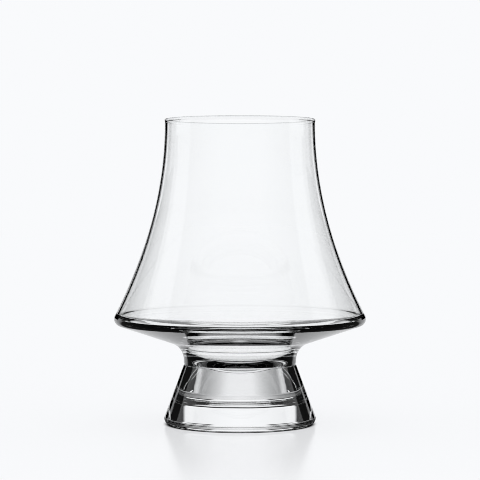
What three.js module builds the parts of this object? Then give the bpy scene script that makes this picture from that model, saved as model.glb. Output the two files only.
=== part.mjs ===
import * as THREE from 'three';

// A clear tasting glass: a blown bowl, flared to a wide low shoulder, fused into the dished top of a pressed foot.
// Millimetres, +Z up. The origin is at the centre of the foot's flat underside.

// Weld between bowl and foot: a dished seat inside a narrow flat ring
const NECK_DIAMETER = 42.2;
const WELD_EDGE_RADIUS = 0.4;
const WELD_RING_WIDTH = 1.7;
const SEAT_DEPTH = 8.5;

// Foot: a solid cone, its base measured to the lower corner before that is rounded
const FOOT_HEIGHT = 22.4;
const FOOT_BASE_DIAMETER = 58.8;
const FOOT_EDGE_RADIUS = 2.2;

// Bowl, outside: heights are above the weld's ring, and the shoulder is measured to its corner before rounding
const BOWL_HEIGHT = 92;
const RIM_DIAMETER = 56.4;
const RIM_BEAD_THICKNESS = 1;
const FLARE_TOP_HEIGHT = 90.4;
const FLARE_KNEE_HEIGHT = 55;
const SHOULDER_DIAMETER = 96.8;
const SHOULDER_HEIGHT = 15.65;
const SHOULDER_RADIUS = 2.75;
const NECK_CORNER_HEIGHT = 6.5;
const NECK_FILLET_RADIUS = 6.9;

// Bowl, inside: wall measured square to the axis, floor measured upright
const WALL_AT_RIM = 0.8;
const WALL_AT_MIDDLE = 0.7;
const WALL_AT_SHOULDER = 1.25;
const FLOOR_AT_SHOULDER = 1.6;
const FLOOR_AT_NECK = 7.15;
const INNER_CREASE_RADIUS = 1.6;

// Well at the middle of the floor: its lip lies outside the neck, and its round bottom below the weld's ring
const WELL_LIP_OVERHANG = 0.5;
const WELL_LIP_RADIUS = 0.8;
const WELL_WALL_LEAN = 6.1;
const WELL_DEPTH = 5.1;

// The shares of the well's width and height over which its curve keeps to the flat and to the wall
const WELL_FLAT_SHARE = 0.74;
const WELL_WALL_SHARE = 0.28;

// Facets
const FACETS_AROUND = 48;
const ARC_STEP_DEGREES = 22.5;
const WALL_STEPS = 9;
const WELL_STEPS = 8;
const SEAT_STEPS = 4;
const BEAD_STEPS = 2;

// The share of a straight that a rounded corner may take up
const CORNER_SHARE = 0.95;

// A point of a profile, by its distance from the axis and its height
function at(radius, height) {
  return new THREE.Vector2(radius, height);
}

// A point part of the way along the straight from one point to another, found by its radius
function onStraight(first, second, radius) {
  const share = (radius - first.x) / (second.x - first.x);
  return first.clone().lerp(second, share);
}

// The point where the straight through a and b crosses the straight through c and d
function crossing(a, b, c, d) {
  const along = b.clone().sub(a);
  const other = d.clone().sub(c);
  const share = c.clone().sub(a).cross(other) / along.cross(other);
  return a.clone().addScaledVector(along, share);
}

// An arc about a centre through the given turn, in radians
function arc(centre, radius, start, turn) {
  const steps = Math.ceil(Math.abs(THREE.MathUtils.radToDeg(turn)) / ARC_STEP_DEGREES);
  const points = [];
  for (let step = 0; step <= steps; step += 1) {
    const angle = start + (turn * step) / steps;
    points.push(at(centre.x + radius * Math.cos(angle), centre.y + radius * Math.sin(angle)));
  }
  return points;
}

// A corner rounded to a radius, as far as the two straights that meet there leave room
function rounded(before, corner, after, radius) {
  const back = before.clone().sub(corner);
  const ahead = after.clone().sub(corner);
  const room = CORNER_SHARE * Math.min(back.length(), ahead.length());
  back.normalize();
  ahead.normalize();
  const half = Math.acos(back.dot(ahead)) / 2;
  const fitted = Math.min(radius, room * Math.tan(half));
  const reach = fitted / Math.tan(half);
  const middle = back.clone().add(ahead).normalize();
  const centre = corner.clone().addScaledVector(middle, fitted / Math.sin(half));
  const first = corner.clone().addScaledVector(back, reach).sub(centre);
  const last = corner.clone().addScaledVector(ahead, reach).sub(centre);
  const turn = Math.atan2(first.cross(last), first.dot(last));
  return arc(centre, fitted, first.angle(), turn);
}

// The wall's flare, which leans out from the shoulder, bends at the knee and stands upright at its top
function flare(shoulder, knee, top) {
  return new THREE.QuadraticBezierCurve(shoulder, knee, top).getPoints(WALL_STEPS);
}

// The dished seat of the weld, from its middle out to the flat ring
function seat() {
  const reach = NECK_DIAMETER / 2 - WELD_RING_WIDTH;
  const middle = at(0, -SEAT_DEPTH);
  const low = at(WELL_FLAT_SHARE * reach, -SEAT_DEPTH);
  return new THREE.QuadraticBezierCurve(middle, low, at(reach, 0)).getPoints(SEAT_STEPS);
}

// The round well, from its bottom up to where its wall meets the lip
function well(wallFoot, wallTop) {
  const bottom = at(0, wallFoot.y);
  const low = at(WELL_FLAT_SHARE * wallTop.x, wallFoot.y);
  const high = wallTop.clone().lerp(wallFoot, WELL_WALL_SHARE);
  return new THREE.CubicBezierCurve(bottom, low, high, wallTop).getPoints(WELL_STEPS);
}

// The gentle swelling of one face of the wall into the rim's bead
function swelling(wall, bead) {
  const middle = (wall.y + bead.y) / 2;
  return new THREE.CubicBezierCurve(wall, at(wall.x, middle), at(bead.x, middle), bead).getPoints(BEAD_STEPS);
}

// A solid turned about the Z axis
function turned(profile) {
  return new THREE.LatheGeometry(profile, FACETS_AROUND).rotateX(Math.PI / 2);
}

// Clear glass with the faint grey that thick walls show
function glass() {
  return new THREE.MeshStandardMaterial({
    color: 0xe6eaea,
    roughness: 0.02,
    metalness: 0,
    transparent: true,
    opacity: 0.35,
  });
}

// The foot, from the middle of its underside round the outside to the middle of the seat
function footProfile() {
  const baseCentre = at(0, -FOOT_HEIGHT);
  const base = at(FOOT_BASE_DIAMETER / 2, -FOOT_HEIGHT);
  const weldEdge = at(NECK_DIAMETER / 2, 0);
  const dish = seat().reverse();
  return [
    baseCentre,
    ...rounded(baseCentre, base, weldEdge, FOOT_EDGE_RADIUS),
    ...rounded(base, weldEdge, dish[0], WELD_EDGE_RADIUS),
    ...dish,
  ];
}

// The outside of the bowl, from the middle of the seat to the foot of the rim's bead
function bowlOutside() {
  const dish = seat();
  const weldEdge = at(NECK_DIAMETER / 2, 0);
  const neckCorner = at(NECK_DIAMETER / 2, NECK_CORNER_HEIGHT);
  const shoulder = at(SHOULDER_DIAMETER / 2, SHOULDER_HEIGHT);
  const knee = at(RIM_DIAMETER / 2, FLARE_KNEE_HEIGHT);
  const top = at(RIM_DIAMETER / 2, FLARE_TOP_HEIGHT);
  const shoulderArc = rounded(neckCorner, shoulder, knee, SHOULDER_RADIUS);
  const flareStart = shoulderArc.pop();
  return [
    ...dish,
    ...rounded(dish.at(-1), weldEdge, neckCorner, WELD_EDGE_RADIUS),
    ...rounded(weldEdge, neckCorner, shoulder, NECK_FILLET_RADIUS),
    ...shoulderArc,
    ...flare(flareStart, knee, top),
  ];
}

// The inside of the bowl, from the middle of the well to the foot of the rim's bead
function bowlInside() {
  const kneeOffset = 2 * WALL_AT_MIDDLE - (WALL_AT_RIM + WALL_AT_SHOULDER) / 2;
  const knee = at(RIM_DIAMETER / 2 - kneeOffset, FLARE_KNEE_HEIGHT);
  const top = at(RIM_DIAMETER / 2 - WALL_AT_RIM, FLARE_TOP_HEIGHT);
  const wallBase = at(SHOULDER_DIAMETER / 2 - WALL_AT_SHOULDER, SHOULDER_HEIGHT);
  const floorEdge = at(SHOULDER_DIAMETER / 2, SHOULDER_HEIGHT + FLOOR_AT_SHOULDER);
  const floorNeck = at(NECK_DIAMETER / 2, NECK_CORNER_HEIGHT + FLOOR_AT_NECK);
  const crease = crossing(knee, wallBase, floorNeck, floorEdge);
  const wellLip = onStraight(floorNeck, floorEdge, NECK_DIAMETER / 2 + WELL_LIP_OVERHANG);
  const wellWallFoot = at(wellLip.x - WELL_WALL_LEAN, -WELL_DEPTH);
  const lipArc = rounded(wellWallFoot, wellLip, crease, WELL_LIP_RADIUS);
  const wellTop = lipArc.shift();
  const creaseArc = rounded(wellLip, crease, knee, INNER_CREASE_RADIUS);
  const flareStart = creaseArc.pop();
  return [
    ...well(wellWallFoot, wellTop),
    ...lipArc,
    ...creaseArc,
    ...flare(flareStart, knee, top),
  ];
}

// The rim's round bead, from the outside over the top to the inside
function rimBead(outside, inside) {
  const radius = RIM_BEAD_THICKNESS / 2;
  const centre = at((outside.x + inside.x) / 2, BOWL_HEIGHT - radius);
  return [
    ...swelling(outside, at(centre.x + radius, centre.y)).slice(1, -1),
    ...arc(centre, radius, 0, Math.PI),
    ...swelling(inside, at(centre.x - radius, centre.y)).slice(1, -1).reverse(),
  ];
}

function bowlProfile() {
  const outside = bowlOutside();
  const inside = bowlInside();
  const bead = rimBead(outside.at(-1), inside.at(-1));
  return [...outside, ...bead, ...inside.reverse()];
}

const foot = new THREE.Mesh(turned(footProfile()), glass());
foot.name = 'foot';

const bowl = new THREE.Mesh(turned(bowlProfile()), glass());
bowl.name = 'bowl';

// Bowl and foot meet face to face in the seat. Both are measured from the weld's ring, which stands above the origin.
const tastingGlass = new THREE.Group();
tastingGlass.add(foot, bowl);
tastingGlass.position.z = FOOT_HEIGHT;

export default tastingGlass;
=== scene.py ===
import math

import bpy
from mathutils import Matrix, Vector


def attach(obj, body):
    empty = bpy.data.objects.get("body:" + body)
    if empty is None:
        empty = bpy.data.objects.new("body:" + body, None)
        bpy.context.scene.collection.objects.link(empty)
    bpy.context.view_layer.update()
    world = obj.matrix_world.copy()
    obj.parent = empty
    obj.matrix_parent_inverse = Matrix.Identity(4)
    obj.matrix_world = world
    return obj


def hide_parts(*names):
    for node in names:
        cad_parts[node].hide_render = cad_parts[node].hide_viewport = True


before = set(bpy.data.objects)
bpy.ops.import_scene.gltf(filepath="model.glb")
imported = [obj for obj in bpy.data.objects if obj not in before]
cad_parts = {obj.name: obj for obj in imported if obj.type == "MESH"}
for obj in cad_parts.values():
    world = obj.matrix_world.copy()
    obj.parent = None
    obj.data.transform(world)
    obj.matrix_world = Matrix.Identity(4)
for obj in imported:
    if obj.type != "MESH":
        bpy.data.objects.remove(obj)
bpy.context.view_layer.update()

# Sizes in metres, the same as the solids'. The bowl's heights are above the weld's ring.
MM = 0.001
NECK_RADIUS = 21.1 * MM
WELD_EDGE_RADIUS = 0.4 * MM
WELD_RING_WIDTH = 1.7 * MM
SEAT_DEPTH = 8.5 * MM
FOOT_HEIGHT = 22.4 * MM
FOOT_BASE_RADIUS = 29.4 * MM
FOOT_EDGE_RADIUS = 2.2 * MM
BOWL_HEIGHT = 92 * MM
RIM_RADIUS = 28.2 * MM
RIM_BEAD_THICKNESS = 1 * MM
FLARE_TOP_HEIGHT = 90.4 * MM
FLARE_KNEE_HEIGHT = 55 * MM
SHOULDER_RADIUS = 48.4 * MM
SHOULDER_HEIGHT = 15.65 * MM
SHOULDER_ROUNDING = 2.75 * MM
NECK_CORNER_HEIGHT = 6.5 * MM
NECK_FILLET_RADIUS = 6.9 * MM
WALL_AT_RIM = 0.8 * MM
WALL_AT_MIDDLE = 0.7 * MM
WALL_AT_SHOULDER = 1.25 * MM
FLOOR_AT_SHOULDER = 1.6 * MM
FLOOR_AT_NECK = 7.15 * MM
INNER_CREASE_RADIUS = 1.6 * MM
WELL_LIP_OVERHANG = 0.5 * MM
WELL_LIP_RADIUS = 0.8 * MM
WELL_WALL_LEAN = 6.1 * MM
WELL_DEPTH = 5.1 * MM
WELL_FLAT_SHARE = 0.74
WELL_WALL_SHARE = 0.28

# Fineness of the turned meshes
SEGMENTS = 192
ARC_STEP = math.radians(6)
LEAST_ARC_STEPS = 2
CURVE_STEPS = 48
BEAD_STEPS = 8
AXIS_TOLERANCE = 1e-9


def at(radius, height):
    """A point or direction of a profile, by its distance from the axis and its height."""
    return Vector((radius, height))


def cross2(a, b):
    return a.x * b.y - a.y * b.x


def crossing(a, b, c, d):
    """The point where the straight through a and b crosses the straight through c and d."""
    share = cross2(c - a, d - c) / cross2(b - a, d - c)
    return a + (b - a) * share


# The curves below are lists of points, each with the direction that the profile runs in there.


def arc(centre, radius, start, turn):
    steps = max(LEAST_ARC_STEPS, math.ceil(abs(turn) / ARC_STEP))
    made = []
    for step in range(steps + 1):
        angle = start + turn * step / steps
        out = at(math.cos(angle), math.sin(angle))
        along = at(-out.y, out.x) * math.copysign(1, turn)
        made.append((centre + out * radius, along))
    return made


def rounded(before, corner, after, radius):
    """A corner of the profile rounded to a radius."""
    back = (before - corner).normalized()
    ahead = (after - corner).normalized()
    half = math.acos(back.dot(ahead)) / 2
    centre = corner + (back + ahead).normalized() * radius / math.sin(half)
    first = corner + back * radius / math.tan(half) - centre
    last = corner + ahead * radius / math.tan(half) - centre
    turn = math.atan2(cross2(first, last), first.dot(last))
    return arc(centre, radius, math.atan2(first.y, first.x), turn)


def bend(start, knee, end):
    """A quadratic curve: the wall's flare, or the dish of the seat."""
    made = []
    for step in range(CURVE_STEPS + 1):
        t = step / CURVE_STEPS
        place = start * (1 - t) ** 2 + knee * (2 * t * (1 - t)) + end * t ** 2
        along = (knee - start) * (1 - t) + (end - knee) * t
        made.append((place, along.normalized()))
    return made


def bezier(start, low, high, end, steps):
    """A cubic curve: the round of the well, or the wall's swelling into the bead."""
    made = []
    for step in range(steps + 1):
        t = step / steps
        u = 1 - t
        place = start * u ** 3 + low * (3 * u * u * t) + high * (3 * u * t * t) + end * t ** 3
        along = (low - start) * (u * u) + (high - low) * (2 * u * t) + (end - high) * (t * t)
        made.append((place, along.normalized()))
    return made


def swelling(wall, bead):
    """One face of the wall swelling into the rim's bead, without its two ends."""
    middle = (wall.y + bead.y) / 2
    return bezier(wall, at(wall.x, middle), at(bead.x, middle), bead, BEAD_STEPS)[1:-1]


def turned_back(points):
    return [(place, -along) for place, along in reversed(points)]


def seat():
    """The dished seat of the weld, from its middle out to the flat ring."""
    reach = NECK_RADIUS - WELD_RING_WIDTH
    return bend(at(0, -SEAT_DEPTH), at(WELL_FLAT_SHARE * reach, -SEAT_DEPTH), at(reach, 0))


def foot_profile():
    """The foot, from the middle of its underside round the outside to the middle of the seat."""
    base_centre, base = at(0, -FOOT_HEIGHT), at(FOOT_BASE_RADIUS, -FOOT_HEIGHT)
    weld_edge = at(NECK_RADIUS, 0)
    dish = turned_back(seat())
    return [
        (base_centre, at(1, 0)),
        *rounded(base_centre, base, weld_edge, FOOT_EDGE_RADIUS),
        *rounded(base, weld_edge, dish[0][0], WELD_EDGE_RADIUS),
        *dish,
    ]


def bowl_profile():
    """The bowl, from the middle of the seat up the outside, over the rim and down to the well."""
    dish, weld_edge = seat(), at(NECK_RADIUS, 0)
    neck_corner = at(NECK_RADIUS, NECK_CORNER_HEIGHT)
    shoulder = at(SHOULDER_RADIUS, SHOULDER_HEIGHT)
    knee = at(RIM_RADIUS, FLARE_KNEE_HEIGHT)
    top = at(RIM_RADIUS, FLARE_TOP_HEIGHT)
    shoulder_arc = rounded(neck_corner, shoulder, knee, SHOULDER_ROUNDING)
    outside = [
        *dish,
        *rounded(dish[-1][0], weld_edge, neck_corner, WELD_EDGE_RADIUS),
        *rounded(weld_edge, neck_corner, shoulder, NECK_FILLET_RADIUS),
        *shoulder_arc[:-1],
        *bend(shoulder_arc[-1][0], knee, top),
    ]
    knee_offset = 2 * WALL_AT_MIDDLE - (WALL_AT_RIM + WALL_AT_SHOULDER) / 2
    inner_knee = at(RIM_RADIUS - knee_offset, FLARE_KNEE_HEIGHT)
    inner_top = at(RIM_RADIUS - WALL_AT_RIM, FLARE_TOP_HEIGHT)
    wall_base = at(SHOULDER_RADIUS - WALL_AT_SHOULDER, SHOULDER_HEIGHT)
    floor_edge = at(SHOULDER_RADIUS, SHOULDER_HEIGHT + FLOOR_AT_SHOULDER)
    floor_neck = at(NECK_RADIUS, NECK_CORNER_HEIGHT + FLOOR_AT_NECK)
    crease = crossing(inner_knee, wall_base, floor_neck, floor_edge)
    well_lip = floor_neck.lerp(floor_edge, WELL_LIP_OVERHANG / (floor_edge.x - floor_neck.x))
    wall_foot = at(well_lip.x - WELL_WALL_LEAN, -WELL_DEPTH)
    lip_arc = rounded(wall_foot, well_lip, crease, WELL_LIP_RADIUS)
    well_top = lip_arc[0][0]
    low = at(WELL_FLAT_SHARE * well_top.x, -WELL_DEPTH)
    high = well_top.lerp(wall_foot, WELL_WALL_SHARE)
    crease_arc = rounded(well_lip, crease, inner_knee, INNER_CREASE_RADIUS)
    inside = [
        *bezier(at(0, -WELL_DEPTH), low, high, well_top, CURVE_STEPS)[:-1],
        *lip_arc,
        *crease_arc[:-1],
        *bend(crease_arc[-1][0], inner_knee, inner_top),
    ]
    half_bead = RIM_BEAD_THICKNESS / 2
    bead_centre = at((top.x + inner_top.x) / 2, BOWL_HEIGHT - half_bead)
    bead = [
        *swelling(top, bead_centre + at(half_bead, 0)),
        *arc(bead_centre, half_bead, 0, math.pi),
        *turned_back(swelling(inner_top, bead_centre - at(half_bead, 0))),
    ]
    return [*outside, *bead, *turned_back(inside)]


def turned(name, profile, weld_steps):
    """A closed mesh turned about Z, with the profile's own normals.

    The profile's steps in weld_steps make the face of the weld and get the second material.
    """
    places, normals, rings = [], [], []
    for place, along in profile:
        count = 1 if place.x < AXIS_TOLERANCE else SEGMENTS
        rings.append(range(len(places), len(places) + count))
        for turn in range(count):
            angle = 2 * math.pi * turn / SEGMENTS
            x, y = math.cos(angle), math.sin(angle)
            places.append((place.x * x, place.x * y, place.y + FOOT_HEIGHT))
            normals.append((along.y * x, along.y * y, -along.x))
    faces, slots = [], []
    for step in range(len(rings) - 1):
        low, high = rings[step], rings[step + 1]
        for turn in range(SEGMENTS):
            after = (turn + 1) % SEGMENTS
            if len(low) == 1:
                face = (low[0], high[after], high[turn])
            elif len(high) == 1:
                face = (low[turn], low[after], high[0])
            else:
                face = (low[turn], low[after], high[after], high[turn])
            faces.append(face)
            slots.append(int(step in weld_steps))
    mesh = bpy.data.meshes.new(name)
    mesh.from_pydata(places, [], faces)
    mesh.shade_smooth()
    mesh.normals_split_custom_set_from_vertices(normals)
    mesh.polygons.foreach_set("material_index", slots)
    piece = bpy.data.objects.new(name, mesh)
    bpy.context.collection.objects.link(piece)
    return piece


# Degrees in half a turn, and the margin with which whole counts are compared
HALF_TURN = 180
HALF_COUNT = 0.5

WHITE = (1, 1, 1, 1)
BLACK = (0, 0, 0, 1)


class Nodes:
    """The node tree of a material or world. Inputs are given as values or as outputs to link."""

    def __init__(self, owner):
        owner.use_nodes = True
        self.tree = owner.node_tree

    def feed(self, node, inputs):
        for key, value in inputs.items():
            socket = node.inputs[key]
            if isinstance(value, bpy.types.NodeSocket):
                self.tree.links.new(value, socket)
            else:
                socket.default_value = value

    def new(self, kind, inputs=None):
        node = self.tree.nodes.new(kind)
        self.feed(node, inputs or {})
        return node

    def math(self, operation, *values):
        node = self.new("ShaderNodeMath")
        node.operation = operation
        self.feed(node, dict(enumerate(values)))
        return node.outputs[0]

    def vector_math(self, operation, *values):
        node = self.new("ShaderNodeVectorMath")
        node.operation = operation
        self.feed(node, dict(enumerate(values)))
        return node.outputs

    def product(self, first, *others):
        for other in others:
            first = self.math("MULTIPLY", first, other)
        return first

    def greatest(self, first, *others):
        for other in others:
            first = self.math("MAXIMUM", first, other)
        return first

    def opposite(self, value):
        return self.math("SUBTRACT", 1, value)

    def at_least(self, depth, count):
        return self.math("GREATER_THAN", depth, count - HALF_COUNT)

    def fewer(self, depth, count):
        return self.math("LESS_THAN", depth, count - HALF_COUNT)

    def exactly(self, depth, count):
        return self.math("COMPARE", depth, count, HALF_COUNT)

    def mapped(self, value, start, end, low, high, interpolation="SMOOTHSTEP"):
        """Goes from low to high while the value goes from start to end."""
        node = self.new("ShaderNodeMapRange")
        node.interpolation_type = interpolation
        self.feed(node, dict(enumerate((value, start, end, low, high))))
        return node.outputs[0]

    def ramp(self, share, levels):
        """Grey levels by angle in degrees, looked up with an angle as a share of the half turn."""
        node = self.new("ShaderNodeValToRGB", {0: share})
        stops = node.color_ramp.elements
        while len(stops) < len(levels):
            stops.new(0.5)  # any place will do, as all are placed below
        for stop, (angle, level) in zip(stops, levels):
            stop.position = angle / HALF_TURN
            stop.color = (level, level, level, 1)
        return node.outputs[0]

    def mix(self, factor, first, second):
        """The first colour where the factor is 0 and the second where it is 1."""
        node = self.new("ShaderNodeMix")
        node.data_type = "RGBA"
        colours = [key for key, socket in enumerate(node.inputs) if socket.type == "RGBA"]
        self.feed(node, dict(zip((0, *colours), (factor, first, second))))
        return next(socket for socket in node.outputs if socket.type == "RGBA")

    def noise(self, place, scale, detail):
        inputs = {"Vector": place, "Scale": scale, "Detail": detail}
        return self.new("ShaderNodeTexNoise", inputs).outputs["Fac"]


# Glass: its index, the uneven tint and polish (noises by scale and detail), and the painted shade
# that greys the rim's bead, standing in for the dark lines that the bead shows
GLASS_IOR = 1.52
TINTS = ((0.985, 0.992, 0.99, 1), WHITE)
TINT_NOISE = (60, 3)
RIM_PAINTED_SHADE = (0.5, 0.51, 0.51, 1)
RIM_PAINTED_SHADE_HEIGHTS = (0.1139, 0.1143)
POLISH_NOISE = (300, 4)
POLISH_SPAN = (0.5, 1)
POLISH_ROUGHNESS = 0.012

# Waves of the blown and of the pressed skin: their squeeze along the axis, scale and height
BOWL_WAVES = (0.3, 40, 0.00006)
FOOT_WAVES = (2.0, 70, 0.00004)
WAVE_DETAIL = 1


def glass_material(name, squeeze, wave_scale, wave_height):
    """Clear glass with a faint unevenness of tint and polish, slow waves in its skin, and painted
    shade on the rim's bead.
    """
    material = bpy.data.materials.new(name)
    nodes = Nodes(material)
    place = nodes.new("ShaderNodeTexCoord").outputs["Object"]
    mapping = {"Vector": place, "Scale": (1, 1, squeeze)}
    drawn = nodes.new("ShaderNodeMapping", mapping).outputs[0]
    tint = nodes.new("ShaderNodeValToRGB", {0: nodes.noise(drawn, *TINT_NOISE)})
    for stop, colour in zip(tint.color_ramp.elements, TINTS):
        stop.color = colour
    height = nodes.new("ShaderNodeSeparateXYZ", {0: place}).outputs["Z"]
    # Painted shade: the base colour goes grey over the top of the rim's bead, for the dark lines
    # that the bead shows
    rim = nodes.mapped(height, *RIM_PAINTED_SHADE_HEIGHTS, 0, 1, "LINEAR")
    polish = nodes.noise(place, *POLISH_NOISE)
    waves = nodes.noise(drawn, wave_scale, WAVE_DETAIL)
    bump = {"Strength": 1, "Distance": wave_height, "Height": waves}
    nodes.feed(nodes.tree.nodes["Principled BSDF"], {
        "IOR": GLASS_IOR,
        "Transmission Weight": 1,
        "Base Color": nodes.mix(rim, tint.outputs[0], RIM_PAINTED_SHADE),
        "Roughness": nodes.mapped(polish, *POLISH_SPAN, 0, POLISH_ROUGHNESS, "LINEAR"),
        "Normal": nodes.new("ShaderNodeBump", bump).outputs[0],
    })
    return material


def weld_material():
    """See-through faces where the two pieces are fused, so that they look like one body."""
    material = bpy.data.materials.new("fused_weld")
    nodes = Nodes(material)
    nodes.tree.nodes.clear()
    clear = nodes.new("ShaderNodeBsdfTransparent").outputs[0]
    nodes.new("ShaderNodeOutputMaterial", {"Surface": clear})
    return material


weld = weld_material()
bowl_line, foot_line = bowl_profile(), foot_profile()
weld_count, foot_count = len(seat()), len(foot_line) - 1
bowl = turned("bowl_glass", bowl_line, range(weld_count))
foot = turned("foot_glass", foot_line, range(foot_count - weld_count, foot_count))
for piece, node, waves in ((bowl, "bowl", BOWL_WAVES), (foot, "foot", FOOT_WAVES)):
    piece.data.materials.append(glass_material(node + "_glass", *waves))
    piece.data.materials.append(weld)
    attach(piece, "root")
    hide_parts(node)

# Studio: the pale surround, and the share of its light that reaches the floor through the glass
BACKGROUND = (0.947, 0.956, 0.973)
SHADOW = 0.1

# Heights in degrees where the cards and panels that the glass shows begin and end
HORIZON = -0.5
SKIN_FROM = 2.3
OPEN_FROM = 6.0
OPEN_TO = 8.2
BAND_TOP = 17
GAP_TOP = 25
STRIP_FROM = 36
UPPER_TOP = 60

# The angle in degrees from straight behind at which the space before the glass begins
FRONT_FROM = 98

# Brightness that the glass shows, by angle in degrees from straight behind it.
# First the runs that several bands share.
PANEL = [(0, 1.0), (13, 1.0), (16, 0.0)]
UPPER_PANEL = [(0, 0.9), (9, 0.9), (15, 0.5), (24, 0.2), (34, 0.0)]
FRONT = [(97, 1.0), (100, 0.55), (120, 0.73), (150, 1.0)]
SIDE_OF_FACE = [(64, 0.0), (66.5, 1.0), *FRONT]
SIDE_LOW = [(69, 0.0), (72, 0.8), (97, 0.8), (110, 0.0), (180, 0.0)]
SIDE_MIDDLE = [(69, 0.0), (75, 0.9), (97, 0.9), (110, 0.0), (180, 0.0)]
SIDE_HIGH = [(69, 0.0), (75, 0.95), (180, 0.95)]

# Then the bands, the low ones first
LEVEL_FACE = [
    *PANEL, (32.5, 0.0), (35.5, 0.95), (40, 0.9), (46, 0.2), (50, 0.2),
    (55.5, 0.85), (61, 0.6), (66, 1.0), *FRONT,
]
LEVEL_FACE_HIGH = [*PANEL, (50, 0.05), (64, 0.08), (66.5, 1.0), *FRONT]
LEVEL_SKIN_LOW = [(0, 1.0), (36, 1.0), (38.5, 0.0), *SIDE_OF_FACE]
LEVEL_SKIN = [*PANEL, (31, 0.0), (34, 0.95), (37, 0.95), (40, 0.0), *SIDE_OF_FACE]
LEVEL_THICK = [*PANEL, *SIDE_OF_FACE]
LEVEL_DEEP = [*PANEL, *SIDE_LOW]
LEVEL_OPEN = [(0, 1.0), (14, 0.95), (22, 0.92), (30, 0.98), (35, 0.95), (38, 0.0), *SIDE_LOW]
LEVEL_BAND = [(0, 1.0), (35, 1.0), (38, 0.0), *SIDE_MIDDLE]
LEVEL_GAP = [(0, 0.0), *SIDE_MIDDLE]
LEVEL_SHEEN = [
    (0, 0.85), (12, 0.7), (24, 0.3), (30, 0.2), (42, 0.03), (60, 0.0), *SIDE_MIDDLE,
]
LEVEL_UPPER_INSIDE = [(0, 0.9), (24, 0.85), (30, 0.5), (36, 0.0), *SIDE_HIGH]
LEVEL_UPPER_LOW = [*UPPER_PANEL, *SIDE_HIGH]
LEVEL_UPPER = [*UPPER_PANEL, (36, 0.2), (40, 1.0), (58, 1.0), (60, 0.0), *SIDE_HIGH]
LEVEL_TOP = [(0, 0.8), (9, 0.6), (15, 0.15), (45, 0.1), (69, 0.4), (75, 0.95), (180, 0.95)]


def studio_world():
    """A plain pale surround. In the glass it has dark cards on either side of the panel behind."""
    world = bpy.data.worlds.new("studio")
    bpy.context.scene.world = world
    nodes = Nodes(world)
    direction = nodes.new("ShaderNodeTexCoord").outputs["Generated"]
    split = nodes.new("ShaderNodeSeparateXYZ", {0: direction}).outputs
    aside = nodes.math("ARCTAN2", nodes.math("ABSOLUTE", split["X"]), split["Y"])
    share = nodes.math("DIVIDE", aside, math.pi)
    height = nodes.math("ARCSINE", split["Z"])
    path = nodes.new("ShaderNodeLightPath").outputs
    passed, reflected = path["Transmission Depth"], path["Glossy Depth"]

    def above(degrees):
        return nodes.math("GREATER_THAN", height, math.radians(degrees))

    def shown(levels):
        return nodes.ramp(share, levels)

    # Kinds of ray, by how many faces of the glass they passed and how often they were reflected
    deep = nodes.at_least(reflected, 2)
    shallow = nodes.opposite(deep)
    on_face = nodes.fewer(passed, 1)
    in_one_body = nodes.exactly(passed, 2)
    straight = nodes.product(in_one_body, nodes.fewer(reflected, 1))
    in_more_bodies = nodes.product(nodes.at_least(passed, 3), shallow)
    off_floor = nodes.product(path["Is Reflection Ray"], shallow)
    before = nodes.product(nodes.math("GREATER_THAN", share, FRONT_FROM / HALF_TURN), shallow)

    face = shown(LEVEL_FACE)
    high_face = nodes.mix(above(OPEN_TO), face, shown(LEVEL_FACE_HIGH))
    skin = nodes.mix(above(SKIN_FROM), shown(LEVEL_SKIN_LOW), shown(LEVEL_SKIN))
    strip = nodes.mix(above(STRIP_FROM), shown(LEVEL_UPPER_LOW), shown(LEVEL_UPPER))
    upper = nodes.mix(off_floor, shown(LEVEL_UPPER_INSIDE), strip)
    below = nodes.opposite(above(HORIZON))
    beyond = nodes.greatest(above(OPEN_FROM), below, nodes.at_least(reflected, 1))

    # Each line takes the place of what the lines before it set, for the rays that it names
    level = face
    for rays, levels in (
        (in_one_body, skin),
        (straight, shown(LEVEL_THICK)),
        (deep, shown(LEVEL_DEEP)),
        (above(OPEN_FROM), shown(LEVEL_OPEN)),
        (above(OPEN_TO), shown(LEVEL_BAND)),
        (above(BAND_TOP), shown(LEVEL_GAP)),
        (off_floor, shown(LEVEL_SHEEN)),
        (above(GAP_TOP), upper),
        (above(UPPER_TOP), shown(LEVEL_TOP)),
        (before, face),
        (on_face, high_face),
        (below, nodes.mix(straight, BLACK, WHITE)),
        (nodes.product(in_more_bodies, beyond), WHITE),
    ):
        level = nodes.mix(rays, level, levels)

    in_glass = nodes.vector_math("MULTIPLY", level, BACKGROUND)["Vector"]
    to_floor = nodes.at_least(path["Diffuse Depth"], 1)
    shadow = tuple(SHADOW * part for part in BACKGROUND)
    in_glass = nodes.mix(to_floor, in_glass, (*shadow, 1))
    glassy = nodes.greatest(path["Is Glossy Ray"], path["Is Transmission Ray"])
    seen = nodes.mix(glassy, (*BACKGROUND, 1), in_glass)
    nodes.feed(nodes.tree.nodes["Background"], {"Color": seen})


# Floor: how far it reaches, its level just under the foot, its glow and its gloss
FLOOR_REACH = 4
FLOOR_BEFORE = 0.15
FLOOR_LEVEL = -0.00005
FLOOR_GLOW = 0.85
FLOOR_ROUGHNESS = 0.16
FLOOR_IOR = 1.45

# Sheen before the glass, and behind it: its least share, and the share that rises with the angle
SHEEN_BEFORE = 0.22
SHEEN_BEHIND = 0.62
SHEEN_RISE = 0.35

# The sheen behind is seen only by rays that left the glass below this height in metres
EXIT_BELOW = 0.04

# Light that the painted contact shadow under the foot shows where it is seen steeply
PAINTED_CONTACT_SHADOW_LIGHT = 0.8

# Shade of the floor mirrored in the glass, straight behind and at the sides
MIRROR_SHADES = (0.25, 0.97)

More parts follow.
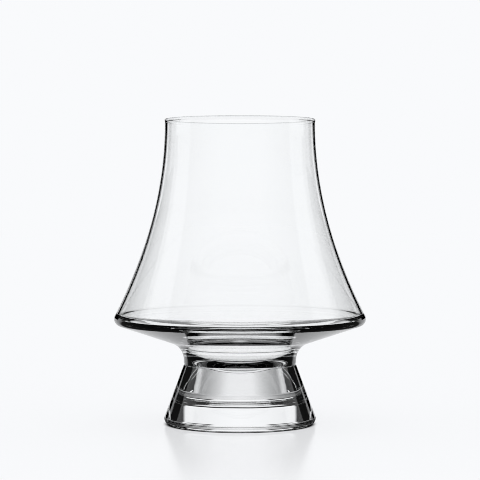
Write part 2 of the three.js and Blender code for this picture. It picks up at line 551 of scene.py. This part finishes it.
# Distances from the axis in metres over which the painted contact shadow and the shades and sheens
# end
PAINTED_CONTACT_SHADOW_ENDS = (0.027, 0.0295)
COLLAR_ENDS = (0.1, 0.13)
SHEEN_BEFORE_ENDS = (0.07, 0.2)
SHEEN_BEHIND_ENDS = (0.3, 1.5)

# Angles in degrees from straight behind over which the shades begin and end
COLLAR_BEGINS = (15, 22)
SIDES_BEGIN = (42, 54)

# Views of the floor, from 0 straight down to 1 along it, over which light or sheen changes
STEEP_ENDS = (0.2, 0.4)
MIRROR_BEGINS = (0.5, 0.6)
GRAZE_BEGINS = (0.65, 0.85)


def studio_floor():
    """A pale glossy floor, darker or glossier in places where the glass shows it, with a painted
    contact shadow under the foot.
    """
    mesh = bpy.data.meshes.new("floor")
    near, far = -FLOOR_BEFORE, FLOOR_REACH
    corners = ((-far, near), (far, near), (far, far), (-far, far))
    mesh.from_pydata([(x, y, FLOOR_LEVEL) for x, y in corners], [], [(0, 1, 2, 3)])
    floor = bpy.data.objects.new("floor", mesh)
    bpy.context.collection.objects.link(floor)
    material = bpy.data.materials.new("floor")
    nodes = Nodes(material)
    nodes.tree.nodes.clear()
    place = nodes.new("ShaderNodeNewGeometry").outputs["Position"]
    distance = nodes.vector_math("LENGTH", place)["Value"]
    split = nodes.new("ShaderNodeSeparateXYZ", {0: place}).outputs
    aside = nodes.math("ARCTAN2", nodes.math("ABSOLUTE", split["X"]), split["Y"])
    facing = nodes.new("ShaderNodeLayerWeight").outputs["Facing"]
    path = nodes.new("ShaderNodeLightPath").outputs
    passed, reflected = path["Transmission Depth"], path["Glossy Depth"]

    def by_angle(degrees, low, high):
        return nodes.mapped(aside, *map(math.radians, degrees), low, high)

    # Painted contact shadow: the floor's colour, glow and gloss go dark under the foot, lighter in
    # rays that go steeply down through the glass
    steep = nodes.mapped(facing, *STEEP_ENDS, PAINTED_CONTACT_SHADOW_LIGHT, 0)
    seen_down = nodes.product(nodes.fewer(reflected, 1), steep)
    beyond_painted_shadow = nodes.greatest(nodes.mapped(distance, *PAINTED_CONTACT_SHADOW_ENDS, 0, 1), seen_down)

    # Shades: on the floor that the glass mirrors, and on a collar of floor close behind the glass
    # that rays reflected once inside it show
    mirrored = nodes.product(nodes.fewer(passed, 1), path["Is Glossy Ray"])
    mirror_shade = nodes.product(mirrored, by_angle(SIDES_BEGIN, *MIRROR_SHADES))
    turned_once = nodes.product(nodes.exactly(passed, 2), nodes.exactly(reflected, 1))
    collar = nodes.product(
        nodes.mapped(distance, *COLLAR_ENDS, 1, 0),
        by_angle(SIDES_BEGIN, 1, 0),
        by_angle(COLLAR_BEGINS, 0, 1),
    )
    shaded = nodes.greatest(mirror_shade, nodes.product(turned_once, collar))
    unshaded = nodes.opposite(shaded)

    # The pale ground, which rays reflected in the bowl show lit under the foot too, without the
    # painted contact shadow
    through_bowl = nodes.product(nodes.at_least(passed, 4), nodes.at_least(reflected, 1))
    lit = nodes.product(nodes.greatest(beyond_painted_shadow, through_bowl), unshaded)
    matt = nodes.new("ShaderNodeBsdfDiffuse", {"Color": nodes.product(beyond_painted_shadow, unshaded)})
    glow = nodes.new("ShaderNodeEmission", {"Color": (*BACKGROUND, 1)})
    pale = nodes.new("ShaderNodeMixShader", {
        0: nodes.product(lit, FLOOR_GLOW), 1: matt.outputs[0], 2: glow.outputs[0],
    })

    # The gloss, strong behind the glass for rays that left it low, and faint elsewhere
    exit_height = nodes.product(path["Ray Length"], nodes.opposite(facing))
    behind = nodes.product(
        nodes.math("GREATER_THAN", split["Y"], 0),
        nodes.at_least(passed, 1),
        nodes.math("LESS_THAN", exit_height, EXIT_BELOW),
        nodes.fewer(passed, 3),
    )
    fresnel = nodes.new("ShaderNodeFresnel", {"IOR": FLOOR_IOR}).outputs[0]
    rise = nodes.math("ADD", nodes.product(fresnel, SHEEN_RISE), SHEEN_BEHIND)
    sheen_behind = nodes.product(
        nodes.greatest(rise, nodes.mapped(facing, *MIRROR_BEGINS, 0, 1)),
        nodes.mapped(distance, *SHEEN_BEHIND_ENDS, 1, 0),
    )
    sheen_before = nodes.product(
        nodes.mapped(distance, *SHEEN_BEFORE_ENDS, 1, 0),
        nodes.mapped(facing, *GRAZE_BEGINS, 0, SHEEN_BEFORE),
    )
    sheen = nodes.math(
        "ADD",
        nodes.product(behind, sheen_behind),
        nodes.product(nodes.opposite(behind), sheen_before),
    )
    sheen = nodes.product(sheen, beyond_painted_shadow, unshaded, nodes.opposite(through_bowl))
    gloss = nodes.new("ShaderNodeBsdfGlossy", {"Color": WHITE, "Roughness": FLOOR_ROUGHNESS})
    both = nodes.new("ShaderNodeMixShader", {0: sheen, 1: pale.outputs[0], 2: gloss.outputs[0]})
    nodes.new("ShaderNodeOutputMaterial", {"Surface": both.outputs[0]})
    mesh.materials.append(material)


studio_world()
studio_floor()

# Camera, as fitted to the ellipses in the photo
CAMERA_DISTANCE = 0.669
CAMERA_HEIGHT = 0.0824
CAMERA_PITCH = math.radians(1.146)
FOCAL_PIXELS = 1782.7
PICTURE_WIDTH = 480
SENSOR_WIDTH = 36
camera_data = bpy.data.cameras.new("camera")
camera_data.sensor_width = SENSOR_WIDTH
camera_data.lens = SENSOR_WIDTH * FOCAL_PIXELS / PICTURE_WIDTH
camera = bpy.data.objects.new("camera", camera_data)
camera.location = (0, -CAMERA_DISTANCE, CAMERA_HEIGHT)
camera.rotation_euler = (math.pi / 2 - CAMERA_PITCH, 0, 0)
bpy.context.collection.objects.link(camera)

# Few glossy bounces end the deepest reflections dark, and a narrow filter keeps outlines crisp
scene = bpy.context.scene
scene.camera = camera
scene.view_settings.view_transform = "Standard"
scene.cycles.max_bounces = 16
scene.cycles.transmission_bounces = 16
scene.cycles.glossy_bounces = 3
scene.cycles.filter_width = 0.9
scene.cycles.transparent_max_bounces = 32
